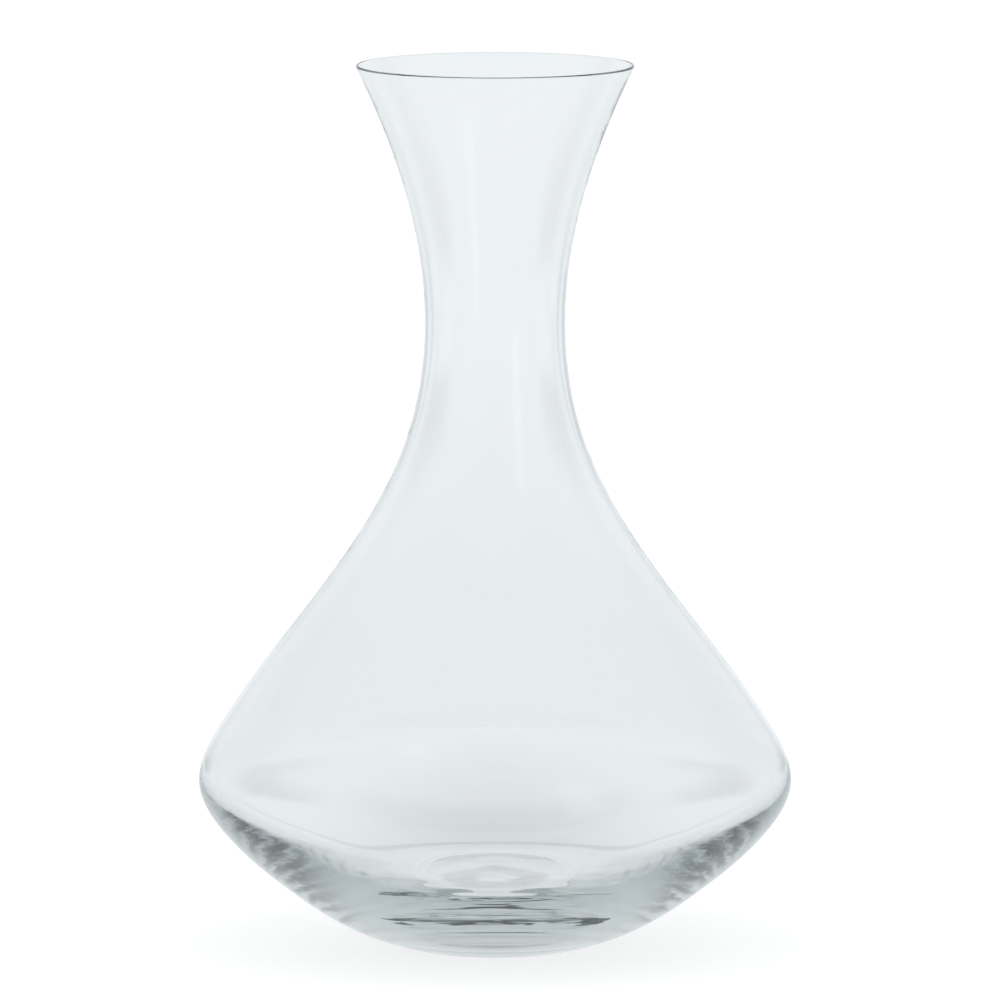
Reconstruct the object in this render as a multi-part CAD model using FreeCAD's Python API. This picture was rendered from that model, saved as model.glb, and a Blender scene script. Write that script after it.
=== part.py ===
import FreeCAD, Part
import math
import os

# A glass carafe, blown as one piece: a flared mouth, a slim waist for the hand, a
# broad belly low down, and a heavy solid base that tapers to a small foot.
# Millimetres, +Z up. The origin is the centre of the foot, level with the table.

# Outer wall, from the foot up. A station has a radius, and a rise above the one below.
FOOT_RADIUS = 23.5
BOWL_RADIUS = 41.7
BOWL_RISE = 6.5
UNDER_RADIUS = 58.5
UNDER_RISE = 11.0
FLANK_RADIUS = 74.5
FLANK_RISE = 14.3
BELLY_RADIUS = 81.9
BELLY_RISE = 13.6
HIP_RADIUS = 75.9
HIP_RISE = 16.3
SHOULDER_RADIUS = 40.9
SHOULDER_RISE = 48.3
NECK_RADIUS = 25.7
NECK_RISE = 28.0
WAIST_RADIUS = 19.4
WAIST_RISE = 32.1
MOUTH_RADIUS = 26.3
MOUTH_RISE = 44.9
RIM_RADIUS = 38.3
RIM_RISE = 29.4

# Slope of the outer wall where it leaves the foot, up from the table, and of the
# mouth where it meets the rim, out from upright.
FOOT_SLOPE_DEG = 13.0
FLARE_DEG = 25.6

# Glass between the outer wall and the hollow, square to the outer wall.
UNDER_WALL = 5.0
FLANK_WALL = 3.1
BELLY_WALL = 1.8
HIP_WALL = 1.8
SHOULDER_WALL = 1.6
NECK_WALL = 1.5
WAIST_WALL = 1.5
MOUTH_WALL = 1.4
RIM_WALL = 1.3

# Floor of the hollow, a shallow dish. Its height is at the centre, above the table.
FLOOR_HEIGHT = 12.0
FLOOR_RADIUS = 40.0
FLOOR_DISHING = 2.2

# The foot is a ring, ground flat. Inside it the glass is hollowed a little.
FOOT_RING_WIDTH = 3.0
PUNT_DEPTH = 0.8


def direction(angle_deg):
    """Unit vector in the section, angle_deg up from level and away from the axis."""
    angle = math.radians(angle_deg)
    return FreeCAD.Vector(math.cos(angle), 0, math.sin(angle))


def smooth_curve(points, start_direction, end_direction):
    """The smooth curve through points that starts and ends along two unit vectors."""
    curve = Part.BSplineCurve()
    curve.interpolate(
        Points=points,
        InitialTangent=start_direction,
        FinalTangent=end_direction,
        Scale=False,
    )
    return curve


def outer_stations():
    """Points of the outer wall in the XZ plane, from the foot up to the rim."""
    radii_and_rises = [
        (FOOT_RADIUS, 0),
        (BOWL_RADIUS, BOWL_RISE),
        (UNDER_RADIUS, UNDER_RISE),
        (FLANK_RADIUS, FLANK_RISE),
        (BELLY_RADIUS, BELLY_RISE),
        (HIP_RADIUS, HIP_RISE),
        (SHOULDER_RADIUS, SHOULDER_RISE),
        (NECK_RADIUS, NECK_RISE),
        (WAIST_RADIUS, WAIST_RISE),
        (MOUTH_RADIUS, MOUTH_RISE),
        (RIM_RADIUS, RIM_RISE),
    ]
    points = []
    height = 0
    for radius, rise in radii_and_rises:
        height += rise
        points.append(FreeCAD.Vector(radius, 0, height))
    return points


def inner_stations(outer_curve, outer_points):
    """Points of the hollow's wall, one wall in from the outer stations above the bowl."""
    walls = [
        UNDER_WALL,
        FLANK_WALL,
        BELLY_WALL,
        HIP_WALL,
        SHOULDER_WALL,
        NECK_WALL,
        WAIST_WALL,
        MOUTH_WALL,
        RIM_WALL,
    ]
    points = []
    for outer_point, wall in zip(outer_points[-len(walls) :], walls):
        along = outer_curve.tangent(outer_curve.parameter(outer_point))[0]
        inward = FreeCAD.Vector(-along.z, 0, along.x)
        points.append(outer_point + inward * wall)
    return points


def lip(outer_point, inner_point, up_the_wall):
    """Half-round edge that joins the outer wall to the hollow's wall at the rim."""
    middle = (outer_point + inner_point) / 2
    crest = middle + up_the_wall * (RIM_WALL / 2)
    return Part.Arc(outer_point, crest, inner_point)


def punt(ring_inner_point, punt_top):
    """Shallow dome under the foot, from its ring to the axis."""
    radius = ring_inner_point.x
    dome_radius = (radius**2 + PUNT_DEPTH**2) / (2 * PUNT_DEPTH)
    half_angle = math.asin(radius / dome_radius) / 2
    halfway = FreeCAD.Vector(
        dome_radius * math.sin(half_angle),
        0,
        PUNT_DEPTH - dome_radius * (1 - math.cos(half_angle)),
    )
    return Part.Arc(ring_inner_point, halfway, punt_top)


def stretches(curve, points):
    """The curve as one edge from each point to the next."""
    ends = [curve.parameter(point) for point in points]
    return [curve.toShape(start, end) for start, end in zip(ends, ends[1:])]


def section():
    """Half section of the glass in the XZ plane, from the axis out."""
    mouth_direction = direction(90 - FLARE_DEG)
    outer_points = outer_stations()
    outer_curve = smooth_curve(outer_points, direction(FOOT_SLOPE_DEG), mouth_direction)

    floor_centre = FreeCAD.Vector(0, 0, FLOOR_HEIGHT)
    floor_edge = FreeCAD.Vector(FLOOR_RADIUS, 0, FLOOR_HEIGHT + FLOOR_DISHING)
    inner_points = [floor_centre, floor_edge]
    inner_points += inner_stations(outer_curve, outer_points)
    inner_curve = smooth_curve(inner_points, direction(0), mouth_direction)

    foot_edge = outer_points[0]
    ring_inner_point = FreeCAD.Vector(FOOT_RADIUS - FOOT_RING_WIDTH, 0, 0)
    punt_top = FreeCAD.Vector(0, 0, PUNT_DEPTH)
    edges = stretches(outer_curve, outer_points)
    edges += stretches(inner_curve, inner_points)
    edges += [
        lip(outer_points[-1], inner_points[-1], mouth_direction).toShape(),
        Part.LineSegment(floor_centre, punt_top).toShape(),
        punt(ring_inner_point, punt_top).toShape(),
        Part.LineSegment(ring_inner_point, foot_edge).toShape(),
    ]
    return Part.Face(Part.Wire(Part.__sortEdges__(edges)))


def carafe():
    """The whole carafe, its section turned about the upright axis."""
    return section().revolve(FreeCAD.Vector(0, 0, 0), FreeCAD.Vector(0, 0, 1), 360)


def main():
    os.makedirs("parts", exist_ok=True)
    carafe().exportStep("parts/carafe.step")


main()
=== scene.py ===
import math

import bpy
import numpy as np
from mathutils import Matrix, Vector


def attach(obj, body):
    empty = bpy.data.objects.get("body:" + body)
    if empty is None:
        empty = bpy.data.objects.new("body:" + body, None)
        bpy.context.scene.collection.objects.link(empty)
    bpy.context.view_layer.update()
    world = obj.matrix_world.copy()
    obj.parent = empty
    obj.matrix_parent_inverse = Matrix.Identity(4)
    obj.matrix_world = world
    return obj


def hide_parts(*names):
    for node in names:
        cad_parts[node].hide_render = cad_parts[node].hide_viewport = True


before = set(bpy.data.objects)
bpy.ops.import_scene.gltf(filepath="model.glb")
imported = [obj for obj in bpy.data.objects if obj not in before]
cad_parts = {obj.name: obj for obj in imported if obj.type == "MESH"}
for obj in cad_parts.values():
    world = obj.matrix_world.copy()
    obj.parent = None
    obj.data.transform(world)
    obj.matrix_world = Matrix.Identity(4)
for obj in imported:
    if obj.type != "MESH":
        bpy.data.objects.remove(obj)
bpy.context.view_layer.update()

# The carafe of the frame, turned again as fine clear glass, in a pale soft studio.
# Metres, +Z up, in the frame's own place: the foot stands on z = 0.

MM = 0.001

# Outer wall, from the foot up. Radius and height of each station, in millimetres.
OUTER_STATIONS = [
    (23.5, 0.0),
    (41.7, 6.5),
    (58.5, 17.5),
    (74.5, 31.8),
    (81.9, 45.4),
    (75.9, 61.7),
    (40.9, 110.0),
    (25.7, 138.0),
    (19.4, 170.1),
    (26.3, 215.0),
    (38.3, 244.4),
]
FOOT_SLOPE_DEG = 13.0
FLARE_DEG = 25.6

# Glass between the outer wall and the hollow, in millimetres, at the last stations. The lip is
# drawn finer than the solid's, as its dark line in the photo is thin.
WALLS = [5.0, 3.1, 1.8, 1.8, 1.6, 1.5, 1.5, 1.2, 0.8]

# Floor of the hollow, and the foot's ring with the shallow dome inside it, in millimetres.
FLOOR_HEIGHT = 12.0
FLOOR_RADIUS = 40.0
FLOOR_DISHING = 2.2
FOOT_RING_WIDTH = 3.0
PUNT_DEPTH = 0.8

# Fineness of the turned mesh. A point nearer the axis than POLE_RADIUS is on it.
TURN_STEPS = 220
OUTER_STEPS = [18, 20, 28, 24, 24, 34, 14, 14, 16, 12]
INNER_STEPS = [14, 20, 28, 24, 24, 34, 14, 14, 16, 12]
LIP_STEPS = 10
PUNT_STEPS = 8
POLE_RADIUS = 1e-9

# Waves left in the glass by the making, as heights in metres: faint on the wall, deeper and with
# fine creases in the heel, where the glass is thick. The scales are waves per metre along X, Y
# and Z. HEEL_REACH is the height over which the heel ends, and FLOOR_REACH the radius past
# which it starts.
RIPPLE_SCALE = (45.0, 45.0, 140.0)
WALL_RIPPLE = 0.00003
HEEL_RIPPLE = 0.0001
CREASE_SCALE = (10.0, 10.0, 260.0)
HEEL_CREASE = 0.0001
WAVE_DETAIL = 2.0
HEEL_REACH = (0.020, 0.034)
FLOOR_REACH = (0.036, 0.046)

# The glass itself: how it bends light, its cool cast by depth in metres, and its slight haze.
GLASS_IOR = 1.52
GLASS_CAST = (0.12, 0.25, 0.26)
GLASS_DENSITY = 4.6
HAZE_SCALE = (40.0, 40.0, 40.0)
HAZE_DETAIL = 3.0
HAZE_ROUGHNESS = 0.003

# The photo's view: a long lens about four metres off, looking a little down.
CAMERA_DISTANCE = 4.0
CAMERA_HEIGHT = 0.6194
CAMERA_PITCH_DEG = 7.08
CAMERA_REACH = 100.0
SENSOR_MM = 36.0
FOCAL_PX = 14594.0
PHOTO_SIDE_PX = 1000.0
AIM_UP_PX = 6.0
AIM_RIGHT_PX = 5.0

# What the glass sees of the studio, as linear colours. Far off there are eight pale panels in
# a ring round the table, with dimmer gaps between them. The panel straight behind is the
# backdrop and is the brightest, and the front of the ring is one even tone. Above the ring is a
# wall, dark at the two sides and pale behind and in front, and over it a pale ceiling. A dark
# gap is left between the backdrop's top and the ceiling, and the ceiling is dark overhead.
PANEL_COUNT = 8
BACKDROP_COLOR = (0.87, 0.905, 0.93)
PANEL_COLOR = (0.84, 0.87, 0.89)
LEFT_GAP_COLOR = (0.60, 0.64, 0.66)
RIGHT_GAP_COLOR = (0.58, 0.61, 0.64)
FRONT_COLOR = (0.74, 0.78, 0.80)
BACK_WALL_COLOR = (0.84, 0.87, 0.89)
LEFT_WALL_COLOR = (0.02, 0.025, 0.03)
RIGHT_WALL_COLOR = (0.03, 0.035, 0.04)
FRONT_WALL_COLOR = (0.70, 0.735, 0.75)
CEILING_COLOR = (0.80, 0.83, 0.85)
BACK_GAP_COLOR = (0.05, 0.055, 0.06)
OVERHEAD_COLOR = (0.25, 0.27, 0.28)

# Where each part of the studio softly gives way to the next, in parts of a unit direction: X is
# to the right, Y away from the camera and Z up. PANEL_EDGES is on the wave that makes the ring.
PANEL_EDGES = (-0.95, -0.2)
LEFT_TO_RIGHT = (-0.3, 0.3)
RING_FRONT_EDGE = (-0.7, -0.1)
BACKDROP_EDGE = (0.75, 0.9)
FRONT_WALL_EDGE = (-0.40, -0.05)
BACK_WALL_EDGE = (0.2, 0.75)
WALL_RISE = (-0.04, 0.14)
CEILING_RISE = (0.18, 0.55)
BACKDROP_TOP = (0.19, 0.23)
BACK_CEILING_EDGE = (0.31, 0.35)
BACK_GAP_REACH = (0.88, 0.95)
OVERHEAD_RISE = (0.80, 0.90)
OVERHEAD_REACH = (0.0, 0.2)

# The table as the glass sees it, a glow with painted light and shade: a painted pool of light under the
# carafe, then even, with the carafe's painted soft shade on it behind, and paler far off. The distances
# between, in metres.
TABLE_UNDER_LIGHT_COLOR = (0.88, 0.905, 0.91)
TABLE_OPEN_COLOR = (0.825, 0.86, 0.875)
TABLE_SHADE_COLOR = (0.67, 0.70, 0.71)
TABLE_UNDER_LIGHT_REACH = (0.01, 0.045)
TABLE_SHADE_REACH = (0.065, 0.36)
TABLE_SHADE_MIDDLE = 0.06
TABLE_FAR_REACH = (0.85, 1.5)
TABLE_PANEL_REACH = (0.9, 1.3)

# The table to the camera: the part of its white that is its own, and the paint that takes the
# shadow. It is twelve metres wide and lies just clear of the foot.
TABLE_GLOW = (0.72, 0.72, 0.72)
TABLE_PAINT = (0.5, 0.5, 0.5)
TABLE_HALF = 6.0
TABLE_HEIGHT = -0.0002

# The window whose soft-edged light the glass reflects. Place and size in metres.
WINDOW_PLACE = (0.48, -0.72, 0.44)
WINDOW_AIM = (0.0, 0.0, 0.30)
WINDOW_SIZE = (0.34, 0.90)
WINDOW_COLOR = (0.88, 0.94, 1.0)
WINDOW_BRIGHTNESS = 1.2
WINDOW_EDGE_SHARE = 0.35

# How often light may turn before it is given up. It runs far round the base inside the glass.
TURNS_IN_ALL = 160
TURNS_BY_REFLECTION = 160
TURNS_BY_BENDING = 32

# Sockets of Blender's mix node when it mixes colours.
MIX_AMOUNT = 0
MIX_FIRST = 6
MIX_SECOND = 7
MIX_RESULT = 2


def smooth_curve(points, start, end, steps):
    """The smooth curve through points, which starts and ends along two unit vectors.

    Returns the points along it, the unit direction at each of them, and the direction at each station.
    """
    stations = np.array(points, dtype=float)
    count = len(stations)
    lengths = np.hypot(*(stations[1:] - stations[:-1]).T)
    system = np.zeros((count, count))
    values = np.zeros((count, 2))
    system[0, 0] = 1
    values[0] = start
    system[-1, -1] = 1
    values[-1] = end
    for i in range(1, count - 1):
        before, after = lengths[i - 1], lengths[i]
        system[i, i - 1] = after
        system[i, i] = 2 * (before + after)
        system[i, i + 1] = before
        rise_before = (stations[i] - stations[i - 1]) / before
        rise_after = (stations[i + 1] - stations[i]) / after
        values[i] = 3 * (after * rise_before + before * rise_after)
    slopes = np.linalg.solve(system, values)
    curve = [stations[0]]
    along = [slopes[0]]
    for i, length in enumerate(lengths):
        chord = (stations[i + 1] - stations[i]) / length
        for share in np.linspace(0, 1, steps[i] + 1)[1:]:
            rest = 1 - share
            curve.append(
                rest**2 * (1 + 2 * share) * stations[i]
                + share**2 * (3 - 2 * share) * stations[i + 1]
                + share * rest**2 * length * slopes[i]
                - share**2 * rest * length * slopes[i + 1]
            )
            along.append(
                6 * share * rest * chord
                + rest * (1 - 3 * share) * slopes[i]
                + share * (3 * share - 2) * slopes[i + 1]
            )
    along = [direction / np.hypot(*direction) for direction in along]
    return curve, along, [slope / np.hypot(*slope) for slope in slopes]


def outward(along):
    """The unit normal on the outer side of a section that runs up the outside: along turned clockwise."""
    return np.array((along[1], -along[0]))


def foot_section():
    """The dome under the foot and the ring round it, each as a run of points with normals."""
    ring_outside = OUTER_STATIONS[0][0]
    ring_inside = ring_outside - FOOT_RING_WIDTH
    dome_radius = (ring_inside**2 + PUNT_DEPTH**2) / (2 * PUNT_DEPTH)
    half_angle = math.asin(ring_inside / dome_radius)
    punt = []
    for step in range(PUNT_STEPS + 1):
        angle = half_angle * step / PUNT_STEPS
        across, down = math.sin(angle), math.cos(angle)
        place = (dome_radius * across, PUNT_DEPTH - dome_radius * (1 - down))
        punt.append((np.array(place), np.array((-across, -down))))
    ring = [(np.array((radius, 0.0)), np.array((0.0, -1.0))) for radius in (ring_inside, ring_outside)]
    return punt, ring


def lip_section(outside, inside, at_rim):
    """The half round between the tops of the two walls, as a run of points with normals."""
    middle = (outside + inside) / 2
    half_wall = np.hypot(*(outside - inside)) / 2
    lip = []
    for step in range(LIP_STEPS + 1):
        turned = math.pi * step / LIP_STEPS
        normal = outward(at_rim) * math.cos(turned) + np.array(at_rim) * math.sin(turned)
        lip.append((middle + half_wall * normal, normal))
    return lip


def glass_section():
    """The glass's section in millimetres, as runs from under the foot round to the floor of the hollow.

    Each run is a list of points, as radius and height, with the outward normal at each.
    """
    flare = math.radians(FLARE_DEG)
    foot_slope = math.radians(FOOT_SLOPE_DEG)
    at_foot = (math.cos(foot_slope), math.sin(foot_slope))
    at_rim = (math.sin(flare), math.cos(flare))
    outer, outer_along, at_stations = smooth_curve(OUTER_STATIONS, at_foot, at_rim, OUTER_STEPS)

    hollow = [(0.0, FLOOR_HEIGHT), (FLOOR_RADIUS, FLOOR_HEIGHT + FLOOR_DISHING)]
    first = len(OUTER_STATIONS) - len(WALLS)
    for station, along, wall in zip(OUTER_STATIONS[first:], at_stations[first:], WALLS):
        hollow.append(np.array(station) - outward(along) * wall)
    inner, inner_along, _ = smooth_curve(hollow, (1.0, 0.0), at_rim, INNER_STEPS)

    punt, ring = foot_section()
    lip = lip_section(outer[-1], inner[-1], at_rim)
    wall_outside = [(point, outward(along)) for point, along in zip(outer, outer_along)]
    wall_inside = [(point, -outward(along)) for point, along in zip(inner, inner_along)]
    return [punt, ring, wall_outside, lip, wall_inside[::-1]]


def turn(runs, name):
    """The runs of a section turned about the upright axis, as one closed mesh with its true normals."""
    angles = [2 * math.pi * step / TURN_STEPS for step in range(TURN_STEPS)]
    turned = [(math.cos(angle), math.sin(angle)) for angle in angles]
    places = []
    faces = []
    normals = []
    lower = None
    for run in runs:
        for index, (point, _) in enumerate(run):
            if lower is not None and index == 0:
                continue
            radius, height = point * MM
            if radius < POLE_RADIUS:
                upper = [len(places)] * TURN_STEPS
                places.append((0.0, 0.0, height))
            else:
                upper = [len(places) + step for step in range(TURN_STEPS)]
                places.extend((radius * x, radius * y, height) for x, y in turned)
            if lower is not None:
                below, above = run[index - 1][1], run[index][1]
                for step in range(TURN_STEPS):
                    following = (step + 1) % TURN_STEPS
                    corners = [
                        (lower[step], below, step),
                        (lower[following], below, following),
                        (upper[following], above, following),
                        (upper[step], above, step),
                    ]
                    if lower[step] == lower[following]:
                        corners.pop(1)
                    if upper[step] == upper[following]:
                        corners.pop(-1)
                    faces.append([corner[0] for corner in corners])
                    for _, normal, side in corners:
                        x, y = turned[side]
                        normals.append((normal[0] * x, normal[0] * y, normal[1]))
            lower = upper
    data = bpy.data.meshes.new(name)
    data.from_pydata(places, [], faces)
    data.shade_smooth()
    data.normals_split_custom_set(normals)
    body = bpy.data.objects.new(name, data)
    bpy.context.collection.objects.link(body)
    return body


def flat_sheet(name, half_across, half_up):
    """A flat sheet about its own middle, facing its own +Z."""
    corners = [
        (-half_across, -half_up, 0),
        (half_across, -half_up, 0),
        (half_across, half_up, 0),
        (-half_across, half_up, 0),
    ]
    data = bpy.data.meshes.new(name)
    data.from_pydata(corners, [], [(0, 1, 2, 3)])
    sheet = bpy.data.objects.new(name, data)
    bpy.context.collection.objects.link(sheet)
    return sheet


def new_material(name):
    """A material with nodes. Returns it, its nodes and its links."""
    material = bpy.data.materials.new(name)
    material.use_nodes = True
    return material, material.node_tree.nodes, material.node_tree.links


def own_place(nodes):
    """The place of a surface point in its own object."""
    return nodes.new("ShaderNodeTexCoord").outputs["Object"]


def parts_of(nodes, links, vector):
    """The X, Y and Z sockets of a vector."""
    split = nodes.new("ShaderNodeSeparateXYZ")
    links.new(vector, split.inputs["Vector"])
    return split.outputs


def scaled(nodes, links, vector, scale, shift=(0, 0, 0)):
    """A vector scaled along each axis and then shifted."""
    space = nodes.new("ShaderNodeMapping")
    space.inputs["Location"].default_value = shift
    space.inputs["Scale"].default_value = scale
    links.new(vector, space.inputs["Vector"])
    return space.outputs["Vector"]


def length_of(nodes, links, vector):
    """The length of a vector."""
    length = nodes.new("ShaderNodeVectorMath")
    length.operation = "LENGTH"
    links.new(vector, length.inputs[0])
    return length.outputs["Value"]


def mixed(nodes, links, amount, first, second):
    """A colour mix. amount is a socket, and first and second are sockets or colours."""
    mix = nodes.new("ShaderNodeMix")
    mix.data_type = "RGBA"
    links.new(amount, mix.inputs[MIX_AMOUNT])
    for index, value in ((MIX_FIRST, first), (MIX_SECOND, second)):
        if isinstance(value, bpy.types.NodeSocket):
            links.new(value, mix.inputs[index])
        else:
            mix.inputs[index].default_value = (*value, 1)
    return mix.outputs[MIX_RESULT]


def eased(nodes, links, value, low, high):
    """0 where value is below low and 1 above high, with a soft turn between them."""
    ease = nodes.new("ShaderNodeMapRange")
    ease.interpolation_type = "SMOOTHSTEP"
    ease.inputs["From Min"].default_value = low
    ease.inputs["From Max"].default_value = high
    links.new(value, ease.inputs["Value"])
    return ease.outputs["Result"]


def ranged(nodes, links, value, low, high):
    """value, from 0 to 1, spread evenly from low to high."""
    spread = nodes.new("ShaderNodeMapRange")
    spread.inputs["To Min"].default_value = low
    spread.inputs["To Max"].default_value = high
    links.new(value, spread.inputs["Value"])
    return spread.outputs["Result"]


def computed(nodes, links, operation, first, second=None):
    """A maths node. first and second are sockets or constants; returns the result's socket."""
    maths = nodes.new("ShaderNodeMath")
    maths.operation = operation
    for socket, value in zip(maths.inputs, (first, second)):
        if isinstance(value, bpy.types.NodeSocket):
            links.new(value, socket)
        elif value is not None:
            socket.default_value = value
    return maths.outputs["Value"]


def opposite(nodes, links, share):
    """The rest of a share: 1 where it is 0, and 0 where it is 1."""
    return computed(nodes, links, "SUBTRACT", 1.0, share)


def both(nodes, links, first, second):
    """The part that two shares have in common: their product."""
    return computed(nodes, links, "MULTIPLY", first, second)


def noise(nodes, links, place, scale, detail):
    """Noise from 0 to 1, with so many waves per metre along each axis."""
    cloud = nodes.new("ShaderNodeTexNoise")
    cloud.inputs["Scale"].default_value = 1.0
    cloud.inputs["Detail"].default_value = detail
    links.new(scaled(nodes, links, place, scale), cloud.inputs["Vector"])
    return cloud.outputs["Fac"]


def bumped(nodes, links, height, depth, over=None):
    """The normal of a surface with waves of a depth in metres on it, over the normal of others."""
    bump = nodes.new("ShaderNodeBump")
    bump.inputs["Strength"].default_value = 1.0
    links.new(depth, bump.inputs["Distance"])
    links.new(height, bump.inputs["Height"])
    if over is not None:
        links.new(over, bump.inputs["Normal"])
    return bump.outputs["Normal"]


def heel_share(nodes, links, place):
    """1 in the heel, and 0 up the wall, on the floor of the hollow and under the foot."""
    below_wall = opposite(nodes, links, eased(nodes, links, parts_of(nodes, links, place)["Z"], *HEEL_REACH))
    from_axis = length_of(nodes, links, scaled(nodes, links, place, (1, 1, 0)))
    return both(nodes, links, below_wall, eased(nodes, links, from_axis, *FLOOR_REACH))


def clear_glass():
    """Clear blown glass: a faint cool cast in the thick of it, and the slight waves of the making."""
    material, nodes, links = new_material("clear_glass")
    shader = nodes["Principled BSDF"]
    shader.inputs["Base Color"].default_value = (1, 1, 1, 1)
    shader.inputs["Transmission Weight"].default_value = 1.0
    shader.inputs["IOR"].default_value = GLASS_IOR

    place = own_place(nodes)
    in_heel = heel_share(nodes, links, place)
    ripple = noise(nodes, links, place, RIPPLE_SCALE, WAVE_DETAIL)
    ripple_depth = ranged(nodes, links, in_heel, WALL_RIPPLE, HEEL_RIPPLE)
    rippled = bumped(nodes, links, ripple, ripple_depth)
    crease = noise(nodes, links, place, CREASE_SCALE, WAVE_DETAIL)
    crease_depth = computed(nodes, links, "MULTIPLY", in_heel, HEEL_CREASE)
    links.new(bumped(nodes, links, crease, crease_depth, rippled), shader.inputs["Normal"])

    haze = noise(nodes, links, place, HAZE_SCALE, HAZE_DETAIL)
    links.new(ranged(nodes, links, haze, 0.0, HAZE_ROUGHNESS), shader.inputs["Roughness"])

    cast = nodes.new("ShaderNodeVolumeAbsorption")
    cast.inputs["Color"].default_value = (*GLASS_CAST, 1)
    cast.inputs["Density"].default_value = GLASS_DENSITY
    links.new(cast.outputs["Volume"], nodes["Material Output"].inputs["Volume"])
    return material


def panel_ring(nodes, links, direction, panel_color):
    """The ring of panels in a direction, panel_color and the gaps between. Also the direction's parts."""
    unit = nodes.new("ShaderNodeVectorMath")
    unit.operation = "NORMALIZE"
    links.new(direction, unit.inputs[0])
    parts = parts_of(nodes, links, unit.outputs["Vector"])
    angle = computed(nodes, links, "ARCTAN2", parts["X"], parts["Y"])
    wave = computed(nodes, links, "COSINE", computed(nodes, links, "MULTIPLY", angle, PANEL_COUNT))
    on_panel = eased(nodes, links, wave, *PANEL_EDGES)
    gap_side = eased(nodes, links, parts["X"], *LEFT_TO_RIGHT)
    gap_color = mixed(nodes, links, gap_side, LEFT_GAP_COLOR, RIGHT_GAP_COLOR)
    ring_color = mixed(nodes, links, on_panel, gap_color, panel_color)
    behind_front = eased(nodes, links, parts["Y"], *RING_FRONT_EDGE)
    return mixed(nodes, links, behind_front, FRONT_COLOR, ring_color), parts


def wall_above(nodes, links, parts):
    """The wall above the ring: dark at the two sides, pale in front and behind."""
    to_right = eased(nodes, links, parts["X"], *LEFT_TO_RIGHT)
    side_color = mixed(nodes, links, to_right, LEFT_WALL_COLOR, RIGHT_WALL_COLOR)
    past_front = eased(nodes, links, parts["Y"], *FRONT_WALL_EDGE)
    color = mixed(nodes, links, past_front, FRONT_WALL_COLOR, side_color)
    return mixed(nodes, links, eased(nodes, links, parts["Y"], *BACK_WALL_EDGE), color, BACK_WALL_COLOR)


def studio_light():
    """World light: the ring of panels, the wall and the ceiling. Plain white to the camera."""
    world = bpy.data.worlds.new("studio")
    bpy.context.scene.world = world
    world.use_nodes = True
    world.cycles.sampling_method = "NONE"
    nodes = world.node_tree.nodes
    links = world.node_tree.links
    direction = nodes.new("ShaderNodeTexCoord").outputs["Generated"]
    on_backdrop = eased(nodes, links, parts_of(nodes, links, direction)["Y"], *BACKDROP_EDGE)
    panel_color = mixed(nodes, links, on_backdrop, PANEL_COLOR, BACKDROP_COLOR)
    color, parts = panel_ring(nodes, links, direction, panel_color)
    wall_color = wall_above(nodes, links, parts)
    color = mixed(nodes, links, eased(nodes, links, parts["Z"], *WALL_RISE), color, wall_color)
    color = mixed(nodes, links, eased(nodes, links, parts["Z"], *CEILING_RISE), color, CEILING_COLOR)

    over_backdrop = eased(nodes, links, parts["Z"], *BACKDROP_TOP)
    under_ceiling = opposite(nodes, links, eased(nodes, links, parts["Z"], *BACK_CEILING_EDGE))
    straight_behind = eased(nodes, links, parts["Y"], *BACK_GAP_REACH)
    in_gap = both(nodes, links, both(nodes, links, over_backdrop, under_ceiling), straight_behind)
    color = mixed(nodes, links, in_gap, color, BACK_GAP_COLOR)

    overhead = eased(nodes, links, parts["Z"], *OVERHEAD_RISE)
    behind_carafe = eased(nodes, links, parts["Y"], *OVERHEAD_REACH)
    color = mixed(nodes, links, both(nodes, links, overhead, behind_carafe), color, OVERHEAD_COLOR)
    path = nodes.new("ShaderNodeLightPath")
    color = mixed(nodes, links, path.outputs["Is Camera Ray"], color, (1, 1, 1))
    links.new(color, nodes["Background"].inputs["Color"])


def table_to_glass(nodes, links):
    """The table's colour as the glass sees it, with a painted pool of light under the carafe and painted
    shade behind it.
    """
    place = own_place(nodes)
    distance = length_of(nodes, links, place)
    far = eased(nodes, links, distance, *TABLE_FAR_REACH)
    open_color = mixed(nodes, links, far, TABLE_OPEN_COLOR, BACKDROP_COLOR)
    panelled, _ = panel_ring(nodes, links, place, open_color)
    ringed = eased(nodes, links, distance, *TABLE_PANEL_REACH)
    color = mixed(nodes, links, ringed, open_color, panelled)

    # Painted shade of the carafe on the table behind it, in the glow that the glass sees.
    across, along = TABLE_SHADE_REACH
    to_middle = (0, -TABLE_SHADE_MIDDLE / along, 0)
    shade_space = scaled(nodes, links, place, (1 / across, 1 / along, 0), to_middle)
    from_shade = length_of(nodes, links, shade_space)
    out_of_shade = eased(nodes, links, from_shade, 0.0, 1.0)
    color = mixed(nodes, links, out_of_shade, TABLE_SHADE_COLOR, color)
    # Painted pool of light on the table under the carafe.
    from_under_light = eased(nodes, links, distance, *TABLE_UNDER_LIGHT_REACH)
    return mixed(nodes, links, from_under_light, TABLE_UNDER_LIGHT_COLOR, color)


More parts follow.
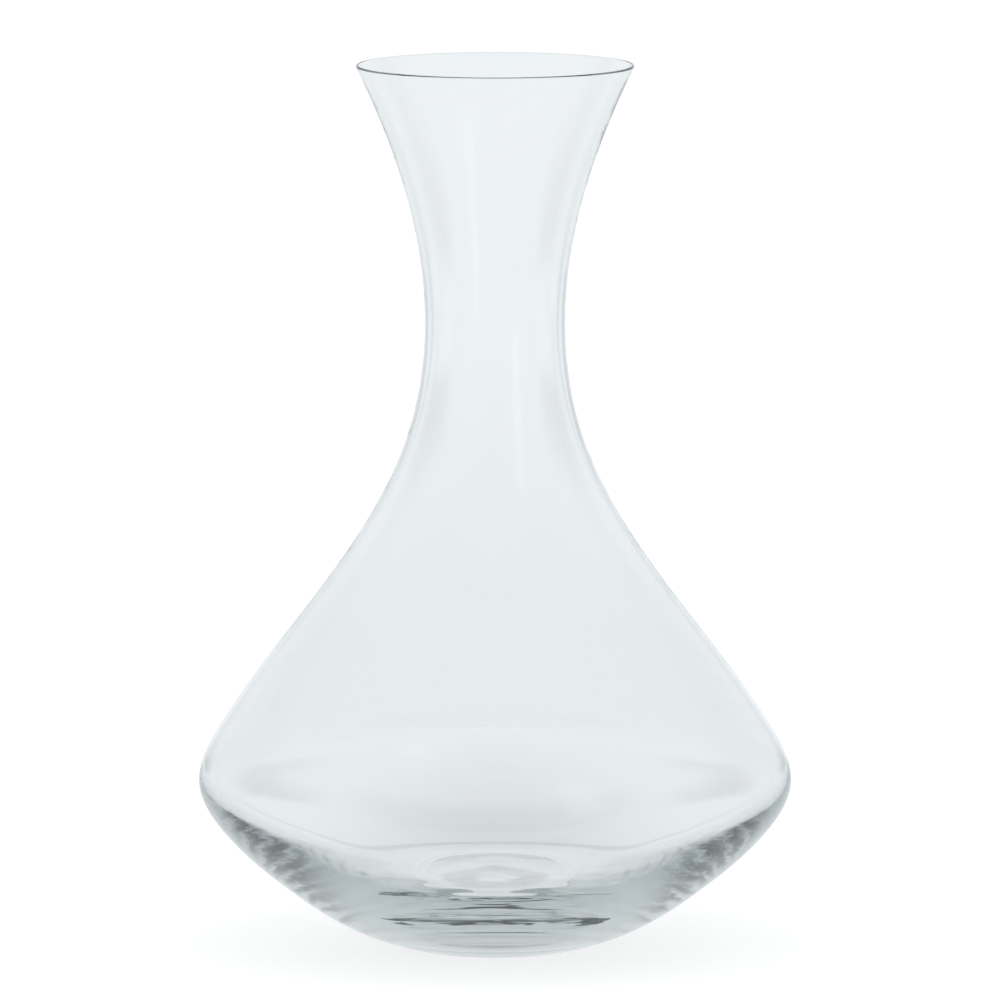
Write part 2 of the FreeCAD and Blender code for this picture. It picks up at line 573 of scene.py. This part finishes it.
def pale_table():
    """The table's surface: white with a soft shadow to the camera, and to the glass a soft grey glow with
    painted light and shade.
    """
    material, nodes, links = new_material("pale_table")
    material.cycles.emission_sampling = "NONE"
    nodes.remove(nodes["Principled BSDF"])
    to_glass = nodes.new("ShaderNodeEmission")
    links.new(table_to_glass(nodes, links), to_glass.inputs["Color"])
    to_camera = nodes.new("ShaderNodeEmission")
    to_camera.inputs["Color"].default_value = (*TABLE_GLOW, 1)
    paint = nodes.new("ShaderNodeBsdfDiffuse")
    paint.inputs["Color"].default_value = (*TABLE_PAINT, 1)
    lit = nodes.new("ShaderNodeAddShader")
    links.new(to_camera.outputs["Emission"], lit.inputs[0])
    links.new(paint.outputs["BSDF"], lit.inputs[1])

    # The glow is only seen, by the camera or through the glass. It lights nothing.
    path = nodes.new("ShaderNodeLightPath")
    unseen = nodes.new("ShaderNodeMixShader")
    links.new(path.outputs["Is Diffuse Ray"], unseen.inputs["Fac"])
    links.new(to_glass.outputs["Emission"], unseen.inputs[1])
    links.new(paint.outputs["BSDF"], unseen.inputs[2])
    surface = nodes.new("ShaderNodeMixShader")
    links.new(path.outputs["Is Camera Ray"], surface.inputs["Fac"])
    links.new(unseen.outputs["Shader"], surface.inputs[1])
    links.new(lit.outputs["Shader"], surface.inputs[2])
    links.new(surface.outputs["Shader"], nodes["Material Output"].inputs["Surface"])
    return material


def table():
    """The wide pale table that the carafe stands on."""
    top = flat_sheet("table", TABLE_HALF, TABLE_HALF)
    top.location.z = TABLE_HEIGHT
    top.data.materials.append(pale_table())


def window_light(half_across, half_up):
    """The window's glow: bright in the middle, and clear past its soft edges."""
    material, nodes, links = new_material("window_light")
    material.cycles.emission_sampling = "NONE"
    nodes.remove(nodes["Principled BSDF"])
    parts = parts_of(nodes, links, own_place(nodes))
    edge = 2 * half_across * WINDOW_EDGE_SHARE
    shares = []
    for name, half in (("X", half_across), ("Y", half_up)):
        from_middle = computed(nodes, links, "ABSOLUTE", parts[name])
        shares.append(opposite(nodes, links, eased(nodes, links, from_middle, half - edge, half)))
    glow = nodes.new("ShaderNodeEmission")
    glow.inputs["Color"].default_value = (*WINDOW_COLOR, 1)
    glow.inputs["Strength"].default_value = WINDOW_BRIGHTNESS
    clear = nodes.new("ShaderNodeBsdfTransparent")
    shown = nodes.new("ShaderNodeMixShader")
    links.new(both(nodes, links, *shares), shown.inputs["Fac"])
    links.new(clear.outputs["BSDF"], shown.inputs[1])
    links.new(glow.outputs["Emission"], shown.inputs[2])
    links.new(shown.outputs["Shader"], nodes["Material Output"].inputs["Surface"])
    return material


def soft_window():
    """A tall window to the front right, seen only as the glass reflects it."""
    half_across, half_up = WINDOW_SIZE[0] / 2, WINDOW_SIZE[1] / 2
    pane = flat_sheet("window", half_across, half_up)
    pane.location = WINDOW_PLACE
    pane.rotation_euler = (Vector(WINDOW_AIM) - Vector(WINDOW_PLACE)).to_track_quat("-Z", "Y").to_euler()
    pane.visible_camera = False
    pane.visible_diffuse = False
    pane.visible_shadow = False
    pane.data.materials.append(window_light(half_across, half_up))


def photo_camera():
    """The photo's camera."""
    data = bpy.data.cameras.new("photo_camera")
    data.sensor_width = SENSOR_MM
    data.lens = SENSOR_MM * FOCAL_PX / PHOTO_SIDE_PX
    data.clip_end = CAMERA_REACH
    camera = bpy.data.objects.new("photo_camera", data)
    camera.location = (0, -CAMERA_DISTANCE, CAMERA_HEIGHT)
    tilt = math.pi / 2 - math.radians(CAMERA_PITCH_DEG) + AIM_UP_PX / FOCAL_PX
    camera.rotation_euler = (tilt, 0, -AIM_RIGHT_PX / FOCAL_PX)
    bpy.context.collection.objects.link(camera)
    bpy.context.scene.camera = camera


def light_paths():
    """Enough turns for light to find its way through the thick base."""
    scene = bpy.context.scene
    scene.view_settings.view_transform = "Standard"
    scene.cycles.max_bounces = TURNS_IN_ALL
    scene.cycles.glossy_bounces = TURNS_BY_REFLECTION
    scene.cycles.transmission_bounces = TURNS_BY_BENDING
    scene.cycles.use_denoising = True


body = turn(glass_section(), "glass_body")
body.data.materials.append(clear_glass())
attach(body, "root")
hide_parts("carafe")

studio_light()
table()
soft_window()
photo_camera()
light_paths()
